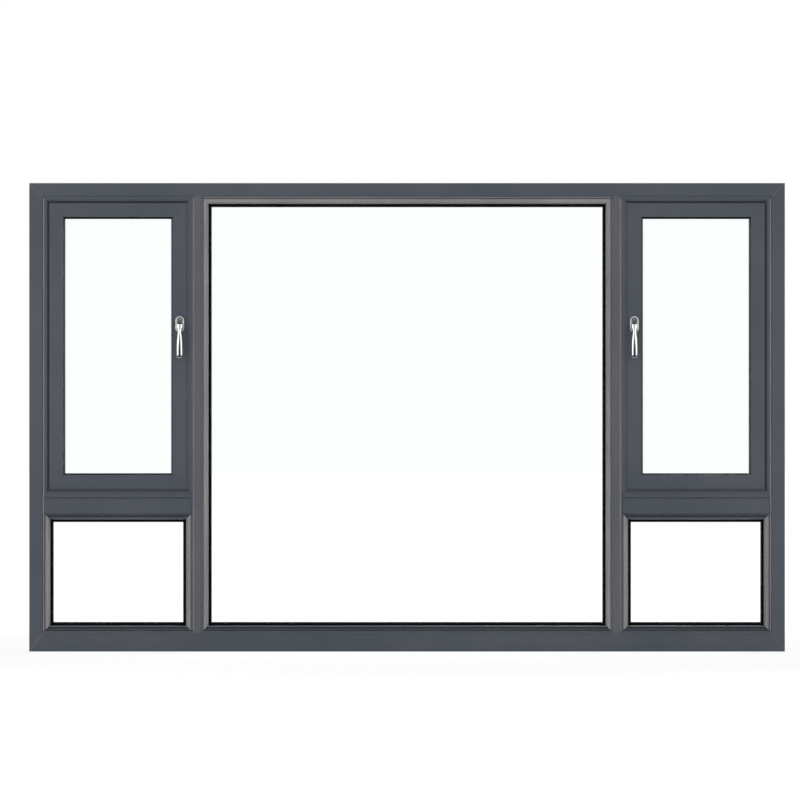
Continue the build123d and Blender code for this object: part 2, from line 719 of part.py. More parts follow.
def left_sash():
    """The pieces of the left sash and of the frame around it, by node name without its side."""
    bars = sash_bars()
    panes, spacer = glass_unit(
        SASH_BAY, SASH_GLASS_EDGE, SASH_GLASS_EDGE + SASH_SPACER_WIDTH, SASH_GLASS_FRONT
    )
    rubbers = glazing_rubbers(
        SASH_BAY,
        SASH_SEAT,
        SASH_GLASS_EDGE,
        SASH_SIGHT + SASH_GASKET_SIGHT,
        SASH_SEAT + SASH_BEAD_SIGHT + SASH_GASKET_SIGHT,
        SASH_GLASS_FRONT,
    )
    return {
        "surround": surround(),
        "lip_seals": [lip_seal()],
        "carrier_strips": carrier_strips(),
        "sash_hinge_stile": [bars["left"]],
        "sash_lock_stile": [bars["right"]],
        "sash_top_rail": [bars["top"]],
        "sash_bottom_rail": [bars["bottom"]],
        "sash_corner_cleats": sash_cleats(),
        "sash_panes": panes,
        "sash_spacer": spacer,
        "sash_glazing_rubbers": rubbers,
        "sash_beads": sash_beads(),
        "hinge_frame_leaves": [frame_leaf(z) for z in hinge_heights()],
        "hinge_sash_leaves": [sash_leaf(z) for z in hinge_heights()],
        "hinge_pins": [hinge_pin(z) for z in hinge_heights()],
        "handle_base": [handle_base()],
        "handle_lever": [lever()],
        "drive_spindle": [drive_spindle()],
        "lock_rod": [lock_rod()] + [lock_pin(z) for z in lock_pin_heights()],
        "keepers": [keeper(z) for z in lock_pin_heights()],
    }


def mirrored(solids):
    return [mirror(solid, about=Plane.YZ) for solid in solids]


def window():
    """Every node of the window, as a list of solids under its name."""
    head, sill, jamb, mullion, transom = frame_bars()
    nodes = {"head_rail": [head], "sill_rail": [sill], "frame_corner_cleats": frame_cleats()}
    left = {"jamb": [jamb], "mullion": [mullion], "transom": [transom]}
    left.update({f"lower_{name}": solids for name, solids in fixed_light(LOWER_LIGHT).items()})
    left.update(left_sash())
    for name, solids in left.items():
        nodes[f"left_{name}"] = solids
        nodes[f"right_{name}"] = mirrored(solids)
    connectors = left_connectors()
    nodes["bar_connectors"] = connectors + mirrored(connectors)
    nodes.update({f"picture_{name}": solids for name, solids in fixed_light(PICTURE_LIGHT).items()})
    for shared in ("lip_seals", "carrier_strips", "hinge_pins", "hinge_frame_leaves", "keepers"):
        nodes[shared] = nodes.pop(f"left_{shared}") + nodes.pop(f"right_{shared}")
    return nodes


os.makedirs("parts", exist_ok=True)
for name, shapes in window().items():
    solids = [solid for shape in shapes for solid in shape.solids()]
    export_step(solids[0] if len(solids) == 1 else Compound(children=solids), f"parts/{name}.step")
    print(name, len(solids))
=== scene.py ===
"""Dresses the casement window: coated bars, moulded beads, rubbers, clear glass and polished handles."""

from __future__ import annotations

import json
import logging
import math
from dataclasses import dataclass, field, replace
from enum import Enum
from typing import Iterable, Sequence

import bmesh
import bpy
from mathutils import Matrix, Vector

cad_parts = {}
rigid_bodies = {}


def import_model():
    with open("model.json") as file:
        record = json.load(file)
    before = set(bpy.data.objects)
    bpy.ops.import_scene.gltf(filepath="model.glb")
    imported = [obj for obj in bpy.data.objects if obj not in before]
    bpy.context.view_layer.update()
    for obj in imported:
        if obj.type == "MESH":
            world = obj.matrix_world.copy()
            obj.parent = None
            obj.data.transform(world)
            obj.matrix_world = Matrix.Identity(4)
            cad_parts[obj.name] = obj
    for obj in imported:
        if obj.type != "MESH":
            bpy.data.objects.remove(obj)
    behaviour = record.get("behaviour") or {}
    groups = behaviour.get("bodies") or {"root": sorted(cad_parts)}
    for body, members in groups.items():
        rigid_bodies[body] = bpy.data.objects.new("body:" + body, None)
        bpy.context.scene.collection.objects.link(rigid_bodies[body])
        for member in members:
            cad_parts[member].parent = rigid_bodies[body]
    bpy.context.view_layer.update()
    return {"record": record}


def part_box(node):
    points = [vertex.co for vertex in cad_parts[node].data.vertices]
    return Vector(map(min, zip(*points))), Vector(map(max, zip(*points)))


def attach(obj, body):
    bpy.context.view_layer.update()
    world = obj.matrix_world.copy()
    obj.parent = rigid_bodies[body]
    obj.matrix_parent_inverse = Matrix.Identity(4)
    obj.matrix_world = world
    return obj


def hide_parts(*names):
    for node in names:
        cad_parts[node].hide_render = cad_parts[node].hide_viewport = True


LOG = logging.getLogger("casement_window")
MM = 0.001

# Directions: from the window towards the room, towards the outdoors, and up
ROOM = Vector((0.0, -1.0, 0.0))
OUTDOORS = Vector((0.0, 1.0, 0.0))
UP = Vector((0.0, 0.0, 1.0))

# Stretches that make up an eased corner, a bow, a small round, a gasket's round and the roll of a bead
CORNER_STEPS = 4
BOW_STEPS = 6
SMALL_ROUND_STEPS = 8
ROUND_STEPS = 10
ROLL_STEPS = 12

WHITE = (1.0, 1.0, 1.0, 1.0)

Point = tuple[float, float]
Colour = tuple[float, float, float]
Mesh = bmesh.types.BMesh
Piece = bpy.types.Object
Tree = bpy.types.NodeTree
Socket = bpy.types.NodeSocket


# Geometry


class Side(Enum):
    """A side of an upright rectangle, seen from the room, with its direction outwards."""

    BOTTOM = (0.0, 0.0, -1.0)
    TOP = (0.0, 0.0, 1.0)
    LEFT = (-1.0, 0.0, 0.0)
    RIGHT = (1.0, 0.0, 0.0)


@dataclass(frozen=True)
class Rect:
    """An upright rectangle in the plane of the window, in metres."""

    x0: float
    z0: float
    x1: float
    z1: float

    @classmethod
    def around(cls, node: str) -> Rect:
        """The outline of a CAD node."""
        low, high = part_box(node)
        return cls(low.x, low.z, high.x, high.z)

    def ends(self, side: Side, depth: float) -> tuple[Point, Point]:
        """The two mitred ends of a line along one side.

        Args:
            side: the side.
            depth: how far inside the rectangle the line is.

        Returns:
            Both ends as (x, z) points.
        """
        x0, z0, x1, z1 = self.x0 + depth, self.z0 + depth, self.x1 - depth, self.z1 - depth
        lines = {
            Side.BOTTOM: ((x1, z0), (x0, z0)),
            Side.TOP: ((x0, z1), (x1, z1)),
            Side.LEFT: ((x0, z0), (x0, z1)),
            Side.RIGHT: ((x1, z1), (x1, z0)),
        }
        return lines[side]


def arc(centre: Point, radius: float, start: float, end: float, steps: int) -> list[Point]:
    """Points of an arc.

    Args:
        centre: middle of the circle.
        radius: its radius.
        start: first angle in degrees.
        end: last angle in degrees.
        steps: number of stretches between the two.

    Returns:
        The points, both ends included.
    """
    angles = [math.radians(start + (end - start) * i / steps) for i in range(steps + 1)]
    return [(centre[0] + radius * math.cos(a), centre[1] + radius * math.sin(a)) for a in angles]


def bowed(start: Point, end: Point, bulge: float, steps: int) -> list[Point]:
    """Points of a shallow bow.

    Args:
        start: first point.
        end: last point.
        bulge: height of the bow, to the left of the way from start to end.
        steps: number of stretches.

    Returns:
        The points, both ends included.
    """
    along = Vector(end) - Vector(start)
    across = Vector((-along.y, along.x)).normalized()
    points = []
    for i in range(steps + 1):
        share = i / steps
        points.append(tuple(Vector(start) + along * share + across * (4 * bulge * share * (1 - share))))
    return points


def new_object(name: str, mesh: Mesh, smooth_angle: float = 35.0) -> Piece:
    """Makes an object of a built mesh, smooth except at edges sharper than an angle.

    Args:
        name: name of the piece.
        mesh: the built mesh, which is freed.
        smooth_angle: the angle in degrees.

    Returns:
        The new object, linked to the scene.
    """
    bmesh.ops.recalc_face_normals(mesh, faces=mesh.faces)
    data = bpy.data.meshes.new(name)
    mesh.to_mesh(data)
    mesh.free()
    data.polygons.foreach_set("use_smooth", [True] * len(data.polygons))
    data.set_sharp_from_angle(angle=math.radians(smooth_angle))
    made = bpy.data.objects.new(name, data)
    bpy.context.scene.collection.objects.link(made)
    return made


def add_strips(
    mesh: Mesh, rect: Rect, profile: Sequence[Point], sides: Iterable[Side], joint: float = 0.0
) -> None:
    """Adds mitred strips of one closed profile along sides of a rectangle.

    Args:
        mesh: mesh that gets the strips.
        rect: the rectangle.
        profile: closed outline as (depth into the rectangle, y) points.
        sides: the sides that get a strip.
        joint: width of the hairline left open at each mitre.
    """
    for side in sides:
        rows = []
        for depth, y in profile:
            start, end = rect.ends(side, depth)
            run = Vector((end[0] - start[0], 0.0, end[1] - start[1])).normalized() * (joint / 2)
            first = mesh.verts.new(Vector((start[0], y, start[1])) + run)
            last = mesh.verts.new(Vector((end[0], y, end[1])) - run)
            rows.append((first, last))
        for (a, b), (c, d) in zip(rows, rows[1:] + rows[:1]):
            mesh.faces.new((a, b, d, c))
        mesh.faces.new([row[0] for row in rows])
        mesh.faces.new([row[1] for row in reversed(rows)])


def add_loft(mesh: Mesh, rings: Sequence[Sequence[Vector]]) -> None:
    """Adds a closed skin through rings.

    Args:
        mesh: mesh that gets the skin.
        rings: points of each ring, the same number in all.
    """
    rows = [[mesh.verts.new(point) for point in ring] for ring in rings]
    count = len(rows[0])
    for lower, upper in zip(rows, rows[1:]):
        for i in range(count):
            j = (i + 1) % count
            mesh.faces.new((lower[i], lower[j], upper[j], upper[i]))
    mesh.faces.new(list(reversed(rows[0])))
    mesh.faces.new(rows[-1])


def add_run(mesh: Mesh, start: Vector, end: Vector, across: Vector, profile: Sequence[Point]) -> None:
    """Adds a straight strip of one closed profile.

    Args:
        mesh: mesh that gets the strip.
        start: where the strip starts.
        end: where it ends.
        across: unit direction of the profile's first coordinate.
        profile: closed outline as (across, out towards the room) points.
    """
    add_loft(mesh, [[place + across * u + ROOM * v for u, v in profile] for place in (start, end)])


def add_turned(
    mesh: Mesh, foot: Vector, axis: Vector, profile: Sequence[Point], segments: int, corners: int = 0
) -> None:
    """Adds a solid turned about an axis, whose last ring may be a polygon, as in a socket head.

    Args:
        mesh: mesh that gets the solid.
        foot: point on the axis where heights start.
        axis: unit direction of the axis.
        profile: (radius, height) points from the foot to the end.
        segments: points round the axis.
        corners: number of corners of the last two rings, or 0 for round ones.
    """
    side = axis.orthogonal().normalized()
    other = axis.cross(side)
    rings = []
    for index, (radius, height) in enumerate(profile):
        ring = []
        for i in range(segments):
            angle = 2 * math.pi * i / segments
            reach = radius
            if corners and index >= len(profile) - 2:
                sector = 2 * math.pi / corners
                reach = radius * math.cos(sector / 2) / math.cos(angle % sector - sector / 2)
            ring.append(foot + axis * height + (side * math.cos(angle) + other * math.sin(angle)) * reach)
        rings.append(ring)
    add_loft(mesh, rings)


# Finishes


class Effect(Enum):
    """A surface effect that several finishes share."""

    TONE_DRIFT = "tone_drift"
    FINE_GRAIN = "fine_grain"
    SETTLED_DUST = "settled_dust"


def add_node(
    tree: Tree, kind: str, inputs: dict[str | int, object] | None = None, **settings: object
) -> bpy.types.Node:
    """Adds a shader node.

    Args:
        tree: node tree that gets the node.
        kind: Blender's name of the node type.
        inputs: value or linked socket for inputs, by name or number.
        settings: attributes of the node itself.

    Returns:
        The new node.
    """
    made = tree.nodes.new(kind)
    for key, value in settings.items():
        setattr(made, key, value)
    for key, value in (inputs or {}).items():
        if isinstance(value, Socket):
            tree.links.new(value, made.inputs[key])
        else:
            made.inputs[key].default_value = value
    return made


def calculate(tree: Tree, operation: str, *values: object, clamp: bool = False) -> Socket:
    """Adds a calculation with sockets and numbers.

    Args:
        tree: node tree that gets it.
        operation: Blender's name of the operation.
        values: its sockets or numbers, in order.
        clamp: whether the result is kept from 0 to 1.

    Returns:
        The socket of the result.
    """
    inputs = dict(enumerate(values))
    return add_node(tree, "ShaderNodeMath", inputs, operation=operation, use_clamp=clamp).outputs[0]


def blend_tones(tree: Tree, share: Socket, first: Socket, second: Socket) -> Socket:
    """Adds a blend of two colours and gives the socket of the result."""
    inputs = {0: share, 6: first, 7: second}
    return add_node(tree, "ShaderNodeMix", inputs, data_type="RGBA").outputs[2]


def opaque(colour: Colour) -> tuple[float, float, float, float]:
    """A colour with full alpha."""
    return (*colour, 1.0)


def new_material(name: str) -> tuple[bpy.types.Material, Tree]:
    """Makes a material.

    Args:
        name: its name.

    Returns:
        The material and its empty node tree.
    """
    material = bpy.data.materials.new(name)
    material.use_nodes = True
    material.node_tree.nodes.clear()
    return material, material.node_tree


class Effects:
    """The shader node groups of the shared effects, each built once."""

    def __init__(self) -> None:
        """Builds every group."""
        self.groups = {
            Effect.TONE_DRIFT: self.tone_drift(),
            Effect.FINE_GRAIN: self.fine_grain(),
            Effect.SETTLED_DUST: self.settled_dust(),
        }

    def place(self, tree: Tree, effect: Effect, inputs: dict[str, object]) -> bpy.types.NodeOutputs:
        """Places an effect in a material.

        Args:
            tree: the material's nodes.
            effect: which effect.
            inputs: its values or linked sockets, by name.

        Returns:
            The outputs of the placed group.
        """
        return add_node(tree, "ShaderNodeGroup", inputs, node_tree=self.groups[effect]).outputs

    @staticmethod
    def start(
        effect: Effect, inputs: dict[str, str], outputs: dict[str, str]
    ) -> tuple[Tree, bpy.types.NodeOutputs, bpy.types.NodeInputs]:
        """Starts a group.

        Args:
            effect: effect that names the group.
            inputs: socket type of each named input.
            outputs: socket type of each named output.

        Returns:
            The tree, the sockets that bring its inputs and the sockets that take its outputs.
        """
        tree = bpy.data.node_groups.new(effect.value, "ShaderNodeTree")
        for name, kind in inputs.items():
            tree.interface.new_socket(name=name, in_out="INPUT", socket_type=kind)
        for name, kind in outputs.items():
            tree.interface.new_socket(name=name, in_out="OUTPUT", socket_type=kind)
        given = add_node(tree, "NodeGroupInput").outputs
        taken = add_node(tree, "NodeGroupOutput").inputs
        return tree, given, taken

    def tone_drift(self) -> Tree:
        """Soft clouds between two tones of a finish.

        Returns:
            The group.
        """
        tree, given, taken = self.start(
            Effect.TONE_DRIFT,
            {"Colour": "NodeSocketColor", "Drift": "NodeSocketColor", "Scale": "NodeSocketFloat"},
            {"Colour": "NodeSocketColor"},
        )
        place = add_node(tree, "ShaderNodeTexCoord").outputs["Object"]
        clouds = add_node(
            tree, "ShaderNodeTexNoise", {"Vector": place, "Scale": given["Scale"], "Detail": 4.0}
        )
        share = add_node(
            tree,
            "ShaderNodeMapRange",
            {"Value": clouds.outputs[0], "From Min": 0.36, "From Max": 0.64},
            interpolation_type="SMOOTHSTEP",
        )
        tone = blend_tones(tree, share.outputs[0], given["Colour"], given["Drift"])
        tree.links.new(tone, taken["Colour"])
        return tree

    def fine_grain(self) -> Tree:
        """The small unevenness of a sprayed, moulded or brushed skin.

        Returns:
            The group.
        """
        tree, given, taken = self.start(
            Effect.FINE_GRAIN,
            {"Scale": "NodeSocketVector", "Roughness": "NodeSocketFloat", "Spread": "NodeSocketFloat"},
            {"Height": "NodeSocketFloat", "Roughness": "NodeSocketFloat"},
        )
        place = add_node(tree, "ShaderNodeTexCoord").outputs["Object"]
        scaled = add_node(
            tree, "ShaderNodeVectorMath", {0: place, 1: given["Scale"]}, operation="MULTIPLY"
        )
        grain = add_node(
            tree, "ShaderNodeTexNoise", {"Vector": scaled.outputs[0], "Scale": 1.0, "Detail": 3.0}
        ).outputs[0]
        tree.links.new(grain, taken["Height"])
        centred = calculate(tree, "SUBTRACT", grain, 0.5)
        uneven = calculate(
            tree, "MULTIPLY_ADD", centred, given["Spread"], given["Roughness"], clamp=True
        )
        tree.links.new(uneven, taken["Roughness"])
        return tree

    def settled_dust(self) -> Tree:
        """A thin film of dust on what faces up.

        Returns:
            The group.
        """
        tree, given, taken = self.start(
            Effect.SETTLED_DUST,
            {"Colour": "NodeSocketColor", "Dust": "NodeSocketColor", "Amount": "NodeSocketFloat"},
            {"Colour": "NodeSocketColor"},
        )
        normal = add_node(tree, "ShaderNodeNewGeometry").outputs["Normal"]
        upward = add_node(tree, "ShaderNodeSeparateXYZ", {0: normal}).outputs[2]
        facing = add_node(
            tree, "ShaderNodeMapRange", {"Value": upward, "From Min": 0.6, "From Max": 0.98}
        )
        place = add_node(tree, "ShaderNodeTexCoord").outputs["Object"]
        specks = add_node(tree, "ShaderNodeTexNoise", {"Vector": place, "Scale": 60.0, "Detail": 5.0})
        film = calculate(tree, "MULTIPLY", facing.outputs[0], specks.outputs[0])
        share = calculate(tree, "MULTIPLY", film, given["Amount"])
        tree.links.new(blend_tones(tree, share, given["Colour"], given["Dust"]), taken["Colour"])
        return tree


@dataclass(frozen=True)
class Finish:
    """A surface finish with a drifting tone, a fine grain and, where it has dust, a film on what faces up.

    The grain is in waves per metre along x, y and z, and the bump is its depth in metres.
    """

    name: str
    colour: Colour
    drift: Colour
    roughness: float
    metallic: float = 0.0
    drift_scale: float = 3.0
    grain: tuple[float, float, float] = (900.0, 900.0, 900.0)
    spread: float = 0.12
    bump: float = 0.0001
    dust: float = 0.0
    dust_colour: Colour = (0.3, 0.29, 0.27)
    sheen_level: float = 0.5

    def build(self, effects: Effects) -> bpy.types.Material:
        """Makes the material.

        Args:
            effects: the shared node groups.

        Returns:
            The material of this finish.
        """
        material, tree = new_material(self.name)
        tone = effects.place(
            tree,
            Effect.TONE_DRIFT,
            {"Colour": opaque(self.colour), "Drift": opaque(self.drift), "Scale": self.drift_scale},
        )["Colour"]
        if self.dust:
            tone = effects.place(
                tree,
                Effect.SETTLED_DUST,
                {"Colour": tone, "Dust": opaque(self.dust_colour), "Amount": self.dust},
            )["Colour"]
        skin = effects.place(
            tree,
            Effect.FINE_GRAIN,
            {"Scale": self.grain, "Roughness": self.roughness, "Spread": self.spread},
        )
        relief = {"Strength": 1.0, "Distance": self.bump, "Height": skin["Height"]}
        bump = add_node(tree, "ShaderNodeBump", relief)
        surface = add_node(
            tree,
            "ShaderNodeBsdfPrincipled",
            {
                "Base Color": tone,
                "Roughness": skin["Roughness"],
                "Normal": bump.outputs[0],
                "Metallic": self.metallic,
                "Specular IOR Level": self.sheen_level,
            },
        )
        add_node(tree, "ShaderNodeOutputMaterial", {"Surface": surface.outputs[0]})
        return material


@dataclass(frozen=True)
class ClearGlass:
    """Clear float glass that lets the lamps shine through."""

    name: str
    tint: Colour
    refraction: float = 1.45
    smears: tuple[float, float, float] = (6.0, 6.0, 6.0)
    roughness: float = 0.004
    spread: float = 0.006

    def build(self, effects: Effects) -> bpy.types.Material:
        """Makes the material.

        Args:
            effects: the shared node groups.

        Returns:
            The material of the glass.
        """
        material, tree = new_material(self.name)
        skin = effects.place(
            tree,
            Effect.FINE_GRAIN,
            {"Scale": self.smears, "Roughness": self.roughness, "Spread": self.spread},
        )
        surface = add_node(
            tree,
            "ShaderNodeBsdfPrincipled",
            {
                "Base Color": opaque(self.tint),
                "Roughness": skin["Roughness"],
                "IOR": self.refraction,
                "Transmission Weight": 1.0,
            },
        )
        clear = add_node(tree, "ShaderNodeBsdfTransparent", {"Color": opaque(self.tint)})
        path = add_node(tree, "ShaderNodeLightPath")
        mixed = add_node(
            tree,
            "ShaderNodeMixShader",
            {0: path.outputs["Is Shadow Ray"], 1: surface.outputs[0], 2: clear.outputs[0]},
        )
        add_node(tree, "ShaderNodeOutputMaterial", {"Surface": mixed.outputs[0]})
        return material


FRAME_PAINT = Finish(
    "frame_paint", (0.063, 0.0735, 0.094), (0.075, 0.085, 0.105), 0.42,
    dust=0.35, bump=0.00004, sheen_level=0.3,
)
FINISHES: tuple[Finish | ClearGlass, ...] = (
    FRAME_PAINT,
    replace(
        FRAME_PAINT, name="mullion_paint", colour=(0.093, 0.1, 0.117), drift=(0.105, 0.112, 0.129)
    ),
    Finish(
        "bead_paint", (0.27, 0.259, 0.268), (0.315, 0.302, 0.31), 0.55,
        sheen_level=0.015, drift_scale=5.0, dust=0.25, bump=0.00003,
    ),
    Finish(
        "hinge_paint", (0.06, 0.066, 0.078), (0.072, 0.078, 0.09), 0.4,
        drift_scale=20.0, bump=0.00004,
    ),
    Finish(
        "rubber", (0.003, 0.003, 0.003), (0.006, 0.006, 0.006), 0.75,
        drift_scale=30.0, bump=0.00006, sheen_level=0.04,
    ),
    Finish(
        "seal_rubber", (0.026, 0.029, 0.036), (0.034, 0.037, 0.044), 0.7,
        drift_scale=30.0, bump=0.00006, sheen_level=0.2,
    ),
    Finish(
        "spacer", (0.01, 0.01, 0.011), (0.016, 0.016, 0.017), 0.6,
        drift_scale=30.0, sheen_level=0.3,
    ),
    ClearGlass("glass", tint=(0.985, 1.0, 0.995)),
    Finish(
        "chrome", (0.45, 0.45, 0.457), (0.49, 0.49, 0.49), 0.12,
        metallic=1.0, drift_scale=40.0, spread=0.05, bump=0.000003,
    ),
    Finish(
        "steel", (0.5, 0.5, 0.52), (0.6, 0.6, 0.61), 0.32,
        metallic=1.0, drift_scale=60.0, grain=(2000.0, 2000.0, 60.0), spread=0.2, bump=0.00001,
    ),
    Finish(
        "mill_aluminium", (0.62, 0.62, 0.63), (0.7, 0.7, 0.71), 0.38,
        metallic=1.0, drift_scale=12.0, grain=(1500.0, 1500.0, 50.0), spread=0.15, bump=0.00001,
    ),
    Finish(
        "satin_nickel", (0.3, 0.3, 0.305), (0.36, 0.36, 0.36), 0.3,
        metallic=1.0, drift_scale=60.0, bump=0.000004,
    ),
    Finish(
        "gunmetal", (0.11, 0.106, 0.102), (0.135, 0.13, 0.125), 0.4,
        drift_scale=60.0, bump=0.00001, sheen_level=0.3,
    ),
    # Black for painted shade and a painted dark reflection on the handles
    Finish(
        "black_enamel", (0.014, 0.014, 0.014), (0.022, 0.021, 0.02), 0.4,
        drift_scale=60.0, bump=0.00001, sheen_level=0.3,
    ),
    # A pale paint: on the nibs and the sash's side glass edges it is a painted highlight, on the mitres it
    # draws the seam lines
    Finish(
        "nib_paint", (0.15, 0.147, 0.16), (0.185, 0.18, 0.19), 0.36,
        drift_scale=8.0, bump=0.00003, sheen_level=0.35,
    ),
)


class Palette:
    """The materials of every finish, ready to put on pieces."""

    def __init__(self) -> None:
        """Builds all the materials."""
        effects = Effects()
        self.materials = {finish.name: finish.build(effects) for finish in FINISHES}

    def paint(self, piece: Piece, finish: str) -> None:
        """Gives a piece one finish all over.

        Args:
            piece: the piece.
            finish: name of the finish.
        """
        if not piece.material_slots:
            piece.data.materials.append(None)
        for slot in piece.material_slots:
            slot.material = self.materials[finish]

    def install(self, piece: Piece, finish: str, body: str, *stands_for: str) -> None:
        """Finishes a modelled piece and fixes it to a body of the frame.

        Args:
            piece: the new piece.
            finish: name of its finish.
            body: body that carries it.
            stands_for: CAD nodes that it takes the place of.
        """
        self.paint(piece, finish)
        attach(piece, body)
        if stands_for:
            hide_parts(*stands_for)
        LOG.info("%s rides on %s", piece.name, body)


# The mullions look a touch lighter and warmer than the other bars
NODE_FINISHES = {"left_mullion": "mullion_paint", "right_mullion": "mullion_paint"}


# Window


class Hand(Enum):
    """Which half of the window a sash is in, as the sign of x."""

    LEFT = -1
    RIGHT = 1

    @property
    def label(self) -> str:
        """The word that starts the names of this half's nodes."""
        return self.name.lower()

    @property
    def hinge_side(self) -> Side:
        """The side of the bay that carries the hinges."""
        return Side.LEFT if self is Hand.LEFT else Side.RIGHT

    @property
    def lock_side(self) -> Side:
        """The side of the bay that carries the keepers."""
        return Side.RIGHT if self is Hand.LEFT else Side.LEFT


@dataclass
class Bars:
    """The extruded bars, panes and fittings that keep their CAD shape, with eased edges."""

    palette: Palette
    edge: float = 0.6 * MM
    edge_steps: int = 2
    edge_angle: float = 30.0
    weld: float = 0.001 * MM
    flat_angle: float = 0.5
    normal_weight: int = 100

    def dress(self, record: dict) -> None:
        """Finishes every CAD node by its material slot.

        Args:
            record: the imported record.
        """
        for subpart in record["subparts"]:
            node = bpy.data.objects[subpart["node"]]
            self.palette.paint(node, NODE_FINISHES.get(node.name, subpart["material_slot"]))
            if subpart["material_slot"] != "glass":
                self.ease(node)

    def ease(self, node: Piece) -> None:
        """Rounds the sharp edges of a CAD node a little, as a die or a cutter leaves them.

        Args:
            node: the node's object.
        """
        weld = node.modifiers.new("weld", "WELD")
        weld.merge_threshold = self.weld
        flat = node.modifiers.new("flat_faces", "DECIMATE")
        flat.decimate_type = "DISSOLVE"
        flat.angle_limit = math.radians(self.flat_angle)
        bevel = node.modifiers.new("eased_edges", "BEVEL")
        bevel.width = self.edge
        bevel.segments = self.edge_steps
        bevel.limit_method = "ANGLE"
        bevel.angle_limit = math.radians(self.edge_angle)
        normals = node.modifiers.new("face_normals", "WEIGHTED_NORMAL")
        normals.weight = self.normal_weight


@dataclass
class FaceTrim:
    """Raised nibs along the bars, most of them in a pale paint that is a painted highlight on their crowns,
    the moulded faces of the transoms and the pale lines of the mitres.

    The two numbers of a nib are its distance from the bar's edge and its width.
    """

    palette: Palette
    rise: float = 0.9 * MM
    sunk: float = 0.3 * MM
    top_nib: Point = (1.2 * MM, 4.8 * MM)
    sill_nib: Point = (6.8 * MM, 5.4 * MM)
    lock_nib: Point = (5.6 * MM, 4.4 * MM)
    hinge_nib: Point = (0.4 * MM, 5.6 * MM)
    transom_margin: float = 0.4 * MM
    transom_rise: float = 3.0 * MM
    groove_from_top: float = 16.4 * MM
    groove: float = 5.0 * MM
    groove_slope: float = 0.7 * MM
    groove_floor: float = 0.2 * MM
    mitre_inset: float = 1.5 * MM
    mitre_width: float = 1.0 * MM
    mitre_rise: float = 0.15 * MM
    face: float = field(init=False)

    def __post_init__(self) -> None:
        """Finds the y of the frame's face towards the room."""
        self.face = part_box("head_rail")[0].y

    def build(self) -> None:
        """Makes all the trim."""
        picture = Rect.around("picture_beads")
        # The nibs above the picture light and beside the bays get the pale paint as a painted highlight; the
        # sill nibs keep the frame's paint
        highlight_painted = bmesh.new()
        plain = bmesh.new()
        self.nib(highlight_painted, picture, Side.TOP, self.top_nib)
        self.nib(plain, picture, Side.BOTTOM, self.sill_nib)
        for hand in Hand:
            lower = Rect.around(f"{hand.label}_lower_beads")
            bay = Rect.around(f"{hand.label}_surround")
            column = Rect(lower.x0, lower.z0, lower.x1, bay.z1)
            self.nib(plain, lower, Side.BOTTOM, self.sill_nib)
            self.nib(highlight_painted, column, hand.lock_side, self.lock_nib)
            self.nib(highlight_painted, column, hand.hinge_side, self.hinge_nib)
            self.transom(hand, bay.z0, lower.z1, column)
        self.palette.install(new_object("tinted_nibs", highlight_painted), "nib_paint", "frame")
        self.palette.install(new_object("plain_nibs", plain), "frame_paint", "frame")
        self.mitres()

    def nib(self, mesh: Mesh, rect: Rect, side: Side, nib: Point) -> None:
        """Adds a low rounded nib on the bar beside one side of a light.

        Args:
            mesh: mesh that gets the nib.
            rect: outline of the light.
            side: the side.
            nib: distance of the nib from the bar's edge, and its width.
        """
        setback, width = nib
        unit = arc((0.0, 0.0), 1.0, 0.0, 180.0, SMALL_ROUND_STEPS)
        crown = [(setback + width * (1 - u) / 2, self.rise * v) for u, v in unit]
        profile = [(setback, -self.sunk), *crown, (setback + width, -self.sunk)]
        start, end = (Vector((x, self.face, z)) for x, z in rect.ends(side, 0.0))
        add_run(mesh, start, end, Vector(side.value), profile)

    def transom(self, hand: Hand, top: float, bottom: float, column: Rect) -> None:
        """Makes the moulded face of a transom, with a groove below its upper edge.

        Args:
            hand: the half of the window.
            top: z of the transom's upper edge.
            bottom: z of its lower edge.
            column: outline of the bay and the light below it.
        """
        low = self.transom_margin
        high = top - bottom - self.transom_margin
        upper = high - self.groove_from_top + self.groove
        lower = high - self.groove_from_top
        edge = self.groove_slope
        outline = [
            (low, -self.sunk),
            (low, self.transom_rise - edge),
            (low + edge, self.transom_rise),
            (lower - edge, self.transom_rise),
            (lower, self.groove_floor),
            (lower + edge, self.groove_floor),
            (upper, self.transom_rise),
            (high, self.groove_floor),
            (high, -self.sunk),
        ]
        mesh = bmesh.new()
        start = Vector((column.x0 + self.transom_margin, self.face, bottom))
        end = Vector((column.x1 - self.transom_margin, self.face, bottom))
        add_run(mesh, start, end, UP, outline)
        face = new_object(f"{hand.label}_transom_face", mesh, smooth_angle=20.0)
        self.palette.install(face, "frame_paint", "frame")

    def mitres(self) -> None:
        """Makes the pale hairlines along the mitres of the outer frame."""
        low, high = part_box("head_rail")
        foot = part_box("sill_rail")[0].z
        inner_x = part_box("left_jamb")[1].x
        inner_top = Rect.around("left_surround").z1
        inner_bottom = Rect.around("left_lower_beads").z0
        mesh = bmesh.new()
        half = self.mitre_width / 2
        crown = [(-half, 0.0), (0.0, self.mitre_rise), (half, 0.0)]
        profile = [(-half, -self.sunk), *crown, (half, -self.sunk)]
        for sign in (1, -1):
            for outer_z, inner_z in ((high.z, inner_top), (foot, inner_bottom)):
                outer = Vector((sign * low.x, self.face, outer_z))
                inner = Vector((sign * inner_x, self.face, inner_z))
                run = (inner - outer).normalized()
                across = run.cross(ROOM)
                add_run(mesh, outer + run * self.mitre_inset, inner, across, profile)
        self.palette.install(new_object("mitre_lines", mesh), "nib_paint", "frame")


@dataclass(frozen=True)
class BeadStyle:
    """The finish of a bead, its raised lands, and whether the last of them rolls down to the glass.

    Lands are given as depths from the bar in millimetres.
    """

    finish: str
    lands: tuple[Point, ...]
    rolled: bool = True

    @property
    def sight(self) -> float:
        """Depth of the edge beside the glass, in metres."""
        return self.lands[-1][1] * MM


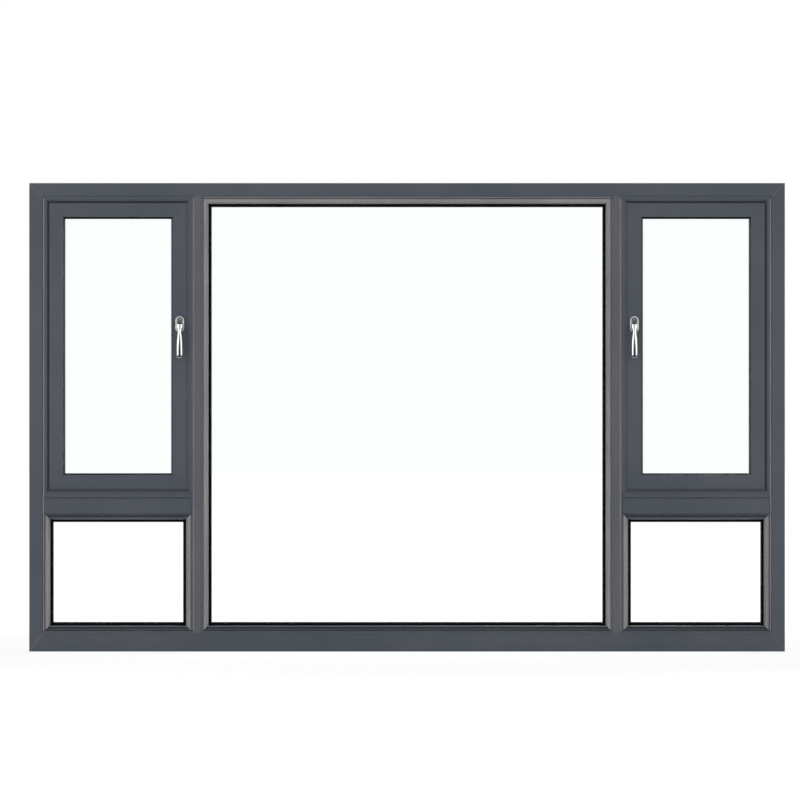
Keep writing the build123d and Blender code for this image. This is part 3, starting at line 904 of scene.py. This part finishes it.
# Side beads and the picture light's top bead are in the pale bead paint; the bottom beads and the lower
# lights' top beads are painted in the darker frame paint as painted shade
PALE_BEAD = BeadStyle("bead_paint", ((1.0, 16.5),))
SHADED_SILL_BEAD = BeadStyle("frame_paint", ((2.2, 6.0), (10.4, 15.6)), rolled=False)
SHADED_TRANSOM_BEAD = BeadStyle("frame_paint", ((0.4, 5.2), (9.4, 18.0)))


@dataclass
class FixedLight:
    """The moulded beads and the gasket lip of one fixed light."""

    name: str
    palette: Palette
    top: BeadStyle
    fall: float = 0.25
    quirk_depth: float = 17.0 * MM
    corner: float = 0.8 * MM
    shoulder: float = 0.42
    roll_depth: float = 20.0 * MM
    mitre: float = 0.6 * MM
    glass_edge: float = 23.8 * MM
    lip_lap: float = 0.3 * MM
    lip_crown: float = 2.8 * MM
    lip_rise: float = 1.1 * MM

    def build(self) -> None:
        """Makes the beads, which stand for the CAD ones, and the lip of the room-side gasket."""
        node = f"{self.name}_beads"
        low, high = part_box(node)
        rect = Rect.around(node)
        styles = {Side.BOTTOM: SHADED_SILL_BEAD, Side.TOP: self.top, Side.LEFT: PALE_BEAD, Side.RIGHT: PALE_BEAD}
        for finish in ("bead_paint", "frame_paint"):
            strips = bmesh.new()
            for side, style in styles.items():
                if style.finish == finish:
                    add_strips(strips, rect, self.bead_profile(low.y, high.y, style), [side], self.mitre)
            # Beads in the frame's paint are painted shade; the pale ones keep the bead's own paint
            tone = "pale" if finish == "bead_paint" else "dark"
            moulding = new_object(f"{self.name}_{tone}_beads", strips, smooth_angle=28.0)
            self.palette.install(moulding, finish, "frame", node)
        lips = bmesh.new()
        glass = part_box(f"{self.name}_panes")[0].y
        for side, style in styles.items():
            add_strips(lips, rect, self.lip_profile(style.sight, high.y, glass), [side])
        lip = new_object(f"{self.name}_gasket_lip", lips)
        self.palette.install(lip, "rubber", "frame")

    def bead_profile(self, front: float, back: float, style: BeadStyle) -> list[Point]:
        """Section of a bead: raised lands with quirks between them, the last one rolled or square.

        Args:
            front: y of the bead's front.
            back: y of the bead's back.
            style: the bead's lands.

        Returns:
            The closed outline as (depth, y) points.
        """
        floor = front + self.quirk_depth
        points = [(0.0, floor)]
        for index, (start, end) in enumerate(style.lands):
            left, right = start * MM, end * MM
            face = front + self.fall * left
            points.append((left, floor))
            edge = (left + self.corner, face + self.corner)
            points += arc(edge, self.corner, 180.0, 270.0, CORNER_STEPS)
            last = index == len(style.lands) - 1
            if last and style.rolled:
                points += self.roll((left + (right - left) * self.shoulder, face), right)
                continue
            edge = (right - self.corner, face + self.corner)
            points += arc(edge, self.corner, 270.0, 360.0, CORNER_STEPS)
            if not last:
                points.append((right, floor))
        return [*points, (style.sight, back), (0.0, back)]

    def roll(self, start: Point, end_depth: float) -> list[Point]:
        """A quarter of an ellipse that turns a bead's face down to the glass.

        Args:
            start: where the face starts to turn.
            end_depth: depth at which it faces along the glass.

        Returns:
            The points, both ends included.
        """
        unit = arc((0.0, 0.0), 1.0, 270.0, 360.0, ROLL_STEPS)
        reach = end_depth - start[0]
        return [(start[0] + reach * u, start[1] + self.roll_depth * (1 + v)) for u, v in unit]

    def lip_profile(self, start: float, seat: float, glass: float) -> list[Point]:
        """Section of the round lip that shows between a bead and the glass.

        Args:
            start: depth of the bead's glass edge.
            seat: y of the gasket's front.
            glass: y of the pane that the lip rests on.

        Returns:
            The closed outline as (depth, y) points.
        """
        half = (self.glass_edge - start + self.lip_lap) / 2
        middle = start - self.lip_lap + half
        base = seat - self.lip_rise + self.lip_crown
        unit = arc((0.0, 0.0), 1.0, 180.0, 360.0, ROUND_STEPS)
        crown = [(middle + half * u, base + self.lip_crown * v) for u, v in unit]
        return [(middle - half, glass), *crown, (middle + half, glass)]


@dataclass
class SashBay:
    """The moulded surround, the seal, the gasket lip and the hinge screws of one sash bay."""

    hand: Hand
    palette: Palette
    lip_sight: float = 9.0 * MM
    seal_reach: float = 4.0 * MM
    ridge: float = 2.0 * MM
    slope_fall: float = 6.0 * MM
    slope_bow: float = 0.8 * MM
    land: float = 6.0 * MM
    land_edge: float = 0.8 * MM
    skirt_end: float = 13.5 * MM
    skirt_rise: float = 1.5 * MM
    skirt_edge: float = 0.3 * MM
    sill_groove: tuple[float, float] = (5.0 * MM, 8.6 * MM)
    sill_groove_depth: float = 5.0 * MM
    skirt_clearance: float = 0.4 * MM
    mitre: float = 0.25 * MM
    glass_sight: float = 58.5 * MM
    top_lip: float = 2.9 * MM
    side_lip: float = 3.0 * MM
    bottom_lip: float = 1.0 * MM
    lip_rise: float = 0.5 * MM
    hinge_from_corner: float = 130.0 * MM
    leaf: float = 3.0 * MM
    frame_screw_inset: float = 11.0 * MM
    sash_screw_inset: float = 12.0 * MM
    screw_spacing: float = 32.0 * MM
    screw_points: int = 24
    socket_corners: int = 6

    def build(self) -> None:
        """Makes all the small pieces of the bay."""
        label = self.hand.label
        rect = Rect.around(f"{label}_surround")
        sash_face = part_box(f"{label}_sash_top_rail")[0].y
        self.surround(rect, sash_face)
        self.sash_lips(rect)
        self.hinge_screws(rect)

    def sash_lips(self, rect: Rect) -> None:
        """Makes the round edges of the sash's glass: rubber above and below, and at the stiles in the pale
        paint as a painted highlight.

        Args:
            rect: outline of the bay.
        """
        label = self.hand.label
        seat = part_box(f"{label}_sash_glazing_rubbers")[0].y
        rubber = bmesh.new()
        painted = bmesh.new()
        for side, mesh, radius in (
            (Side.TOP, rubber, self.top_lip),
            (Side.BOTTOM, rubber, self.bottom_lip),
            (Side.LEFT, painted, self.side_lip),
            (Side.RIGHT, painted, self.side_lip),
        ):
            middle = (self.glass_sight + radius, seat - self.lip_rise + radius)
            add_strips(mesh, rect, arc(middle, radius, 180.0, 360.0, SMALL_ROUND_STEPS), [side])
        gasket = new_object(f"{label}_sash_gasket_lip", rubber)
        self.palette.install(gasket, "rubber", f"{label}_sash")
        # The stiles' glass edges are a painted highlight in the pale paint
        edge = new_object(f"{label}_sash_glass_edges", painted)
        self.palette.install(edge, "nib_paint", f"{label}_sash")

    def seal(self, mesh: Mesh) -> None:
        """Adds the bulb of the seal in the gap round the sash.

        Args:
            mesh: mesh that gets the bulb.
        """
        rect = Rect.around(f"{self.hand.label}_surround")
        low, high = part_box("lip_seals")
        half = (high.y - low.y) / 2
        middle = (self.lip_sight + self.seal_reach - half, low.y + half)
        bulb = arc(middle, half, -90.0, 90.0, ROUND_STEPS)
        outline = [(self.lip_sight, low.y), *bulb, (self.lip_sight, high.y)]
        add_strips(mesh, rect, outline, Side)

    def land_corner(self, depth: float, front: float) -> list[Point]:
        """Points of the eased corner where the front land of a strip ends, at a depth."""
        centre = (depth - self.land_edge, front + self.land_edge)
        return arc(centre, self.land_edge, 270.0, 360.0, CORNER_STEPS)

    def surround(self, rect: Rect, sash_face: float) -> None:
        """Makes the strips round the sash: two sloped ones, a skirted one and a grooved one at the bottom.

        Args:
            rect: outline of the bay.
            sash_face: y of the sash's face towards the room.
        """
        node = f"{self.hand.label}_surround"
        low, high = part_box(node)
        front = low.y
        skirt = sash_face - self.skirt_clearance
        back = [(self.lip_sight, high.y), (0.0, high.y)]
        skirt_back = [(self.skirt_end, skirt), (self.lip_sight, skirt), *back]
        foot = (self.lip_sight, front + self.slope_fall)
        sloped = [
            (0.0, front),
            *bowed((self.ridge, front), foot, -self.slope_bow, BOW_STEPS),
            *back,
        ]
        skirted = [
            (0.0, front),
            *self.land_corner(self.land, front),
            (self.land, skirt - self.skirt_rise),
            (self.skirt_end, skirt - self.skirt_rise),
            *skirt_back,
        ]
        near, far = self.sill_groove
        floor = front + self.sill_groove_depth
        grooved = [
            (0.0, front),
            *self.land_corner(near, front),
            (near, floor),
            (far - self.land_edge, floor),
            (far, front + self.land_edge),
            (far + self.land_edge, front),
            (self.skirt_end, skirt - self.skirt_edge),
            *skirt_back,
        ]
        sections = {
            Side.BOTTOM: grooved,
            Side.TOP: sloped,
            self.hand.hinge_side: sloped,
            self.hand.lock_side: skirted,
        }
        strips = bmesh.new()
        for side, section in sections.items():
            add_strips(strips, rect, section, [side], self.mitre)
        piece = new_object(f"{self.hand.label}_surround_moulding", strips)
        self.palette.install(piece, "frame_paint", "frame", node)

    def hinge_screws(self, rect: Rect) -> None:
        """Makes the screws of both hinges, those in the frame leaves and those in the sash leaves.

        Args:
            rect: outline of the bay.
        """
        label = self.hand.label
        sign = self.hand.value
        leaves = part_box("hinge_frame_leaves")
        leaf_edge = leaves[0].x if self.hand is Hand.LEFT else leaves[1].x
        sash_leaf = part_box(f"{label}_hinge_sash_leaves")
        sash_edge = sash_leaf[1].x if self.hand is Hand.LEFT else sash_leaf[0].x
        rows = {
            "frame": (leaf_edge - sign * self.frame_screw_inset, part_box(f"{label}_jamb")[1].y + self.leaf),
            f"{label}_sash": (
                sash_edge + sign * self.sash_screw_inset,
                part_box(f"{label}_sash_hinge_stile")[1].y + self.leaf,
            ),
        }
        for body, (x, y) in rows.items():
            screws = bmesh.new()
            for hinge_z in (rect.z0 + self.hinge_from_corner, rect.z1 - self.hinge_from_corner):
                for step in (-1, 0, 1):
                    place = Vector((x, y, hinge_z + step * self.screw_spacing))
                    add_turned(screws, place, OUTDOORS, SCREW_HEAD, self.screw_points, self.socket_corners)
            where = "jamb" if body == "frame" else "sash"
            piece = new_object(f"{label}_{where}_hinge_screws", screws)
            self.palette.install(piece, "steel", body)


# Radius and height of a low screw head with a hexagon socket
SCREW_HEAD: tuple[Point, ...] = (
    (4.4 * MM, -0.4 * MM),
    (4.4 * MM, 0.3 * MM),
    (4.0 * MM, 0.9 * MM),
    (3.2 * MM, 1.3 * MM),
    (2.3 * MM, 1.45 * MM),
    (2.0 * MM, 1.4 * MM),
    (1.9 * MM, 0.2 * MM),
)


@dataclass(frozen=True)
class Station:
    """A cross-section of the lever at a height above its pivot, in millimetres."""

    height: float
    half_width: float
    front: float
    back: float
    flute: float = 0.0


@dataclass
class Handle:
    """The polished lever with its flute and end cap, a black strip in the flute that is a painted dark
    reflection, a black recessed neck that is painted shade, and the dish and stud of its base with a painted
    shadow under them.

    The flute and the strip in it are sized in millimetres, as the lever's sections are.
    """

    hand: Hand
    palette: Palette
    hub_radius: float = 12.5 * MM
    ring_points: int = 96
    squareness: float = 2.6
    flute_depth: float = 1.1
    inlay_lift: float = 0.8
    inlay_crown: float = 0.1
    dish_rise: float = 25.0 * MM
    dish_radius: float = 8.3 * MM
    dish_points: int = 48
    stud_radius: float = 2.4 * MM
    stud_lift: float = 1.6 * MM
    stud_foot: float = -1.4 * MM
    stud_seat: float = 1.0 * MM
    stud_crown: float = 0.8 * MM
    stud_points: int = 32
    pad_rise: float = 15.6 * MM
    pad_half_width: float = 8.6 * MM
    pad_half_height: float = 2.9 * MM
    pivot: Vector = field(init=False)

    def __post_init__(self) -> None:
        """Finds where the lever's axis meets the face of the base."""
        low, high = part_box(f"{self.hand.label}_handle_lever")
        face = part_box(f"{self.hand.label}_handle_base")[0].y
        self.pivot = Vector(((low.x + high.x) / 2, face, high.z - self.hub_radius))

    def build(self) -> None:
        """Makes the lever, which stands for the CAD one, its painted shade and painted dark reflection, the
        dish and the painted shadow below it.
        """
        label = self.hand.label
        body = f"{label}_handle"
        self.palette.paint(bpy.data.objects[f"{label}_handle_base"], "satin_nickel")
        lever = self.loft(f"{label}_lever_forging", LEVER)
        self.palette.install(lever, "chrome", body, f"{label}_handle_lever")
        # The recessed neck above the end cap is black as painted shade
        self.palette.install(self.loft(f"{label}_lever_neck_ring", SHADE_PAINTED_NECK), "black_enamel", body)
        self.palette.install(self.loft(f"{label}_lever_end_cap", END_CAP), "satin_nickel", body)
        # The black strip in the flute is a painted dark reflection
        reflection_strip = bmesh.new()
        add_loft(reflection_strip, [self.inlay_ring(station) for station in LEVER if station.flute])
        strip = new_object(f"{label}_lever_inlay", reflection_strip)
        self.palette.install(strip, "black_enamel", body)
        self.dish()
        self.pad()

    def loft(self, name: str, stations: Sequence[Station]) -> Piece:
        """Makes a smooth piece through sections.

        Args:
            name: name of the piece.
            stations: its sections from the top.

        Returns:
            The piece.
        """
        mesh = bmesh.new()
        add_loft(mesh, [self.ring(station) for station in stations])
        piece = new_object(name, mesh, smooth_angle=60.0)
        smooth = piece.modifiers.new("smooth", "SUBSURF")
        smooth.levels = smooth.render_levels = 1
        return piece

    def ring(self, station: Station) -> list[Vector]:
        """Points of one section, with the flute sunk into its front.

        Args:
            station: the section.

        Returns:
            The points in order round the section.
        """
        middle = (station.front + station.back) / 2
        half = (station.front - station.back) / 2
        points = []
        for u, v in self.rounded_square():
            x = station.half_width * u
            out = middle + half * v
            if station.flute and out > middle and abs(x) < station.flute:
                out -= self.flute_depth * (1 - (x / station.flute) ** 2)
            points.append(self.pivot + Vector((x, -out, station.height)) * MM)
        return points

    def rounded_square(self) -> list[Point]:
        """A unit circle drawn out towards a square.

        Returns:
            The points in order.
        """
        points = []
        for i in range(self.ring_points):
            angle = 2 * math.pi * i / self.ring_points
            points.append((self.softened(math.cos(angle)), self.softened(math.sin(angle))))
        return points

    def softened(self, value: float) -> float:
        """A cosine or sine drawn out towards a rounded square."""
        return math.copysign(abs(value) ** (2 / self.squareness), value)

    def inlay_ring(self, station: Station) -> list[Vector]:
        """Points of the black strip in the flute, a painted dark reflection, at one section.

        Args:
            station: the section.

        Returns:
            The corners of the strip, in order.
        """
        top = station.front - self.flute_depth + self.inlay_lift
        bottom = station.front - 2 * self.flute_depth
        half = station.flute
        crown = top + self.inlay_crown
        front = [(half, top), (half / 2, crown), (-half / 2, crown), (-half, top)]
        corners = [(-half, bottom), (half, bottom), *front]
        return [self.pivot + Vector((x, -out, station.height)) * MM for x, out in corners]

    def dish(self) -> None:
        """Makes the grey dish above the lever and the small stud in it."""
        label = self.hand.label
        centre = self.pivot + UP * self.dish_rise
        cup = [(self.dish_radius * share, height * MM) for share, height in DISH]
        dish_mesh = bmesh.new()
        add_turned(dish_mesh, centre, ROOM, cup, self.dish_points)
        dish = new_object(f"{label}_base_dish", dish_mesh, smooth_angle=50.0)
        self.palette.install(dish, "gunmetal", f"{label}_sash")
        outline = [(self.stud_radius, self.stud_foot)]
        for angle in DOME_ANGLES:
            height = self.stud_crown * math.sin(angle) - self.stud_seat
            outline.append((self.stud_radius * math.cos(angle), height))
        stud_mesh = bmesh.new()
        add_turned(stud_mesh, centre + UP * self.stud_lift, ROOM, outline, self.stud_points)
        stud = new_object(f"{label}_base_stud", stud_mesh, smooth_angle=50.0)
        self.palette.install(stud, "satin_nickel", f"{label}_sash")

    def pad(self) -> None:
        """Makes a dark patch on the base between the dish and the lever, a painted shadow under the stud and
        dish.
        """
        label = self.hand.label
        centre = self.pivot + UP * self.pad_rise
        rings = []
        for out, inset in SHADOW_RINGS:
            wide, tall = self.pad_half_width - inset, self.pad_half_height - inset
            square = self.rounded_square()
            rings.append([centre + Vector((wide * u, 0.0, tall * v)) + ROOM * out for u, v in square])
        mesh = bmesh.new()
        add_loft(mesh, rings)
        piece = new_object(f"{label}_base_pad", mesh, smooth_angle=50.0)
        # The dark patch is a painted shadow under the stud and dish
        self.palette.install(piece, "black_enamel", f"{label}_sash")


# Sections of the lever's forging, from the top of the hub down to the end of the grip
LEVER: tuple[Station, ...] = (
    Station(13.9, 10.4, 22.5, 3.0),
    Station(13.7, 11.4, 24.4, 1.4),
    Station(13.1, 12.0, 25.4, 0.6),
    Station(11.5, 12.3, 25.9, 0.3),
    Station(8.0, 12.3, 26.0, 0.3),
    Station(3.0, 11.6, 26.0, 0.3),
    Station(-1.0, 10.2, 26.0, 0.3),
    Station(-5.0, 8.5, 26.0, 0.6),
    Station(-9.0, 7.2, 26.0, 2.0),
    Station(-13.0, 6.8, 26.0, 5.5, 0.4),
    Station(-17.0, 6.9, 25.8, 9.5, 0.7),
    Station(-22.0, 7.2, 25.6, 13.5, 1.0),
    Station(-29.0, 7.8, 25.5, 15.6, 1.4),
    Station(-38.0, 8.5, 25.6, 16.0, 1.9),
    Station(-48.0, 9.0, 25.8, 16.0, 2.5),
    Station(-60.0, 9.3, 26.0, 16.0, 3.1),
    Station(-72.0, 9.3, 26.0, 16.0, 3.5),
    Station(-84.5, 9.2, 25.9, 16.0, 3.8),
    Station(-87.2, 9.0, 25.7, 16.1, 3.8),
    Station(-88.1, 8.6, 25.3, 16.5, 3.8),
)
# Sections of the recessed neck between the grip and its end cap, which is black as painted shade
SHADE_PAINTED_NECK: tuple[Station, ...] = (
    Station(-87.5, 7.8, 24.2, 17.2),
    Station(-88.5, 7.9, 24.3, 17.1),
    Station(-90.9, 7.9, 24.3, 17.1),
    Station(-91.6, 7.8, 24.2, 17.2),
)
END_CAP: tuple[Station, ...] = (
    Station(-91.0, 8.3, 25.0, 16.9),
    Station(-91.5, 8.9, 25.6, 16.4),
    Station(-92.6, 9.0, 25.7, 16.3),
    Station(-93.9, 8.4, 25.0, 16.9),
    Station(-94.6, 6.4, 23.4, 18.3),
    Station(-95.0, 2.6, 21.8, 20.0),
)
# Section of the dish: share of its radius, and height above the base's face in millimetres
DISH: tuple[Point, ...] = (
    (1.0, -2.9),
    (1.0, -1.4),
    (0.94, -0.7),
    (0.8, -0.9),
    (0.4, -1.0),
    (0.1, -1.0),
)
# Angles of the stud's dome, in radians from its rim
DOME_ANGLES = (0.0, 0.5, 1.0, 1.4)
# How far the painted shadow on the base stands out at each of its rings, and how far that ring is set in
SHADOW_RINGS: tuple[Point, ...] = ((-1.0 * MM, 0.0), (0.4 * MM, 0.0), (0.7 * MM, 0.5 * MM))


# Studio


@dataclass(frozen=True)
class Lamp:
    """A soft area lamp aimed at the window."""

    name: str
    place: tuple[float, float, float]
    size: float
    power: float


@dataclass
class Studio:
    """The white room: camera, pale floor, lamps and world."""

    view_width: float = 2.541
    distance: float = 25.0
    view_x: float = -0.0224
    view_z: float = 0.799
    sensor: float = 36.0
    floor_half: float = 60.0
    floor_drop: float = 0.5 * MM
    near_glow: float = 0.82
    near: float = 1.6
    far: float = 3.6
    floor_strength: float = 1.07
    floor_colour: Colour = (0.85, 0.85, 0.85)
    ambient: float = 0.28
    lamps: tuple[Lamp, ...] = (
        Lamp("left_lamp", (-4.0, -5.0, 1.6), 4.0, 142.0),
        Lamp("right_lamp", (4.6, -5.0, 1.2), 6.0, 196.0),
        Lamp("back_lamp", (1.5, 4.5, 3.2), 2.6, 120.0),
    )

    def build(self) -> None:
        """Sets up the whole studio."""
        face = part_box("head_rail")[0].y
        self.camera(face)
        self.floor()
        self.world()
        target = Vector((self.view_x, 0.0, self.view_z))
        for lamp in self.lamps:
            light = bpy.data.lights.new(lamp.name, "AREA")
            light.shape = "SQUARE"
            light.size = lamp.size
            light.energy = lamp.power
            holder = bpy.data.objects.new(lamp.name, light)
            holder.location = lamp.place
            holder.rotation_euler = (target - Vector(lamp.place)).to_track_quat("-Z", "Y").to_euler()
            bpy.context.scene.collection.objects.link(holder)
        bpy.context.scene.view_settings.view_transform = "Standard"

    def camera(self, face: float) -> None:
        """Makes a level camera square to the window.

        Args:
            face: y of the frame's face towards the room.
        """
        data = bpy.data.cameras.new("view")
        data.sensor_width = self.sensor
        data.lens = self.sensor * self.distance / self.view_width
        holder = bpy.data.objects.new("view", data)
        holder.location = (self.view_x, face - self.distance, self.view_z)
        holder.rotation_euler = (math.pi / 2, 0.0, 0.0)
        bpy.context.scene.collection.objects.link(holder)
        bpy.context.scene.camera = holder

    @staticmethod
    def seen_directly(tree: Tree) -> Socket:
        """Tells what is seen straight, off metal or through glass from what only gives soft light.

        Args:
            tree: node tree that gets the nodes.

        Returns:
            A socket that is 1 for what is seen and 0 for soft light.
        """
        path = add_node(tree, "ShaderNodeLightPath").outputs
        shine = calculate(tree, "ADD", path["Is Camera Ray"], path["Is Glossy Ray"])
        total = calculate(tree, "ADD", shine, path["Is Transmission Ray"], clamp=True)
        # The depth counts whole bounces, so a half parts none from one
        unscattered = calculate(tree, "LESS_THAN", path["Diffuse Depth"], 0.5)
        return calculate(tree, "MULTIPLY", total, unscattered)

    def floor(self) -> None:
        """Makes the pale floor, which is white to the eye and keeps the shadow."""
        mesh = bmesh.new()
        half = self.floor_half
        corners = [(-half, -half), (half, -half), (half, half), (-half, half)]
        mesh.faces.new([mesh.verts.new((x, y, -self.floor_drop)) for x, y in corners])
        plane = new_object("pale_floor", mesh)
        material, tree = new_material("pale_floor")
        glow = add_node(tree, "ShaderNodeEmission", {"Color": WHITE, "Strength": self.floor_strength})
        matt = add_node(tree, "ShaderNodeBsdfDiffuse", {"Color": opaque(self.floor_colour)})
        place = add_node(tree, "ShaderNodeTexCoord").outputs["Object"]
        radius = add_node(tree, "ShaderNodeVectorMath", {0: place}, operation="LENGTH").outputs["Value"]
        glow_share = add_node(
            tree,
            "ShaderNodeMapRange",
            {"Value": radius, "From Min": self.near, "From Max": self.far, "To Min": self.near_glow},
            interpolation_type="SMOOTHSTEP",
        )
        share = calculate(tree, "MULTIPLY", self.seen_directly(tree), glow_share.outputs[0])
        mixed = add_node(
            tree, "ShaderNodeMixShader", {0: share, 1: matt.outputs[0], 2: glow.outputs[0]}
        )
        add_node(tree, "ShaderNodeOutputMaterial", {"Surface": mixed.outputs[0]})
        plane.data.materials.append(material)

    def world(self) -> None:
        """Makes a world that is white to the eye and gives a plain soft light."""
        world = bpy.data.worlds.new("white_room")
        world.use_nodes = True
        tree = world.node_tree
        tree.nodes.clear()
        strength = add_node(
            tree, "ShaderNodeMapRange", {"Value": self.seen_directly(tree), "To Min": self.ambient}
        )
        sky = add_node(tree, "ShaderNodeBackground", {"Color": WHITE, "Strength": strength.outputs[0]})
        add_node(tree, "ShaderNodeOutputWorld", {"Surface": sky.outputs[0]})
        bpy.context.scene.world = world


def main() -> None:
    """Loads the frame, dresses it and sets up the studio."""
    logging.basicConfig(level=logging.INFO, format="%(message)s")
    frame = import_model()
    palette = Palette()
    Bars(palette).dress(frame["record"])
    FaceTrim(palette).build()
    FixedLight("picture", palette, top=PALE_BEAD).build()
    for hand in Hand:
        FixedLight(f"{hand.label}_lower", palette, top=SHADED_TRANSOM_BEAD).build()
    bays = [SashBay(hand, palette) for hand in Hand]
    seals = bmesh.new()
    for bay in bays:
        bay.build()
        bay.seal(seals)
    palette.install(new_object("lip_seal_bulbs", seals), "seal_rubber", "frame", "lip_seals")
    for hand in Hand:
        Handle(hand, palette).build()
    Studio().build()


if __name__ == "__main__":
    main()
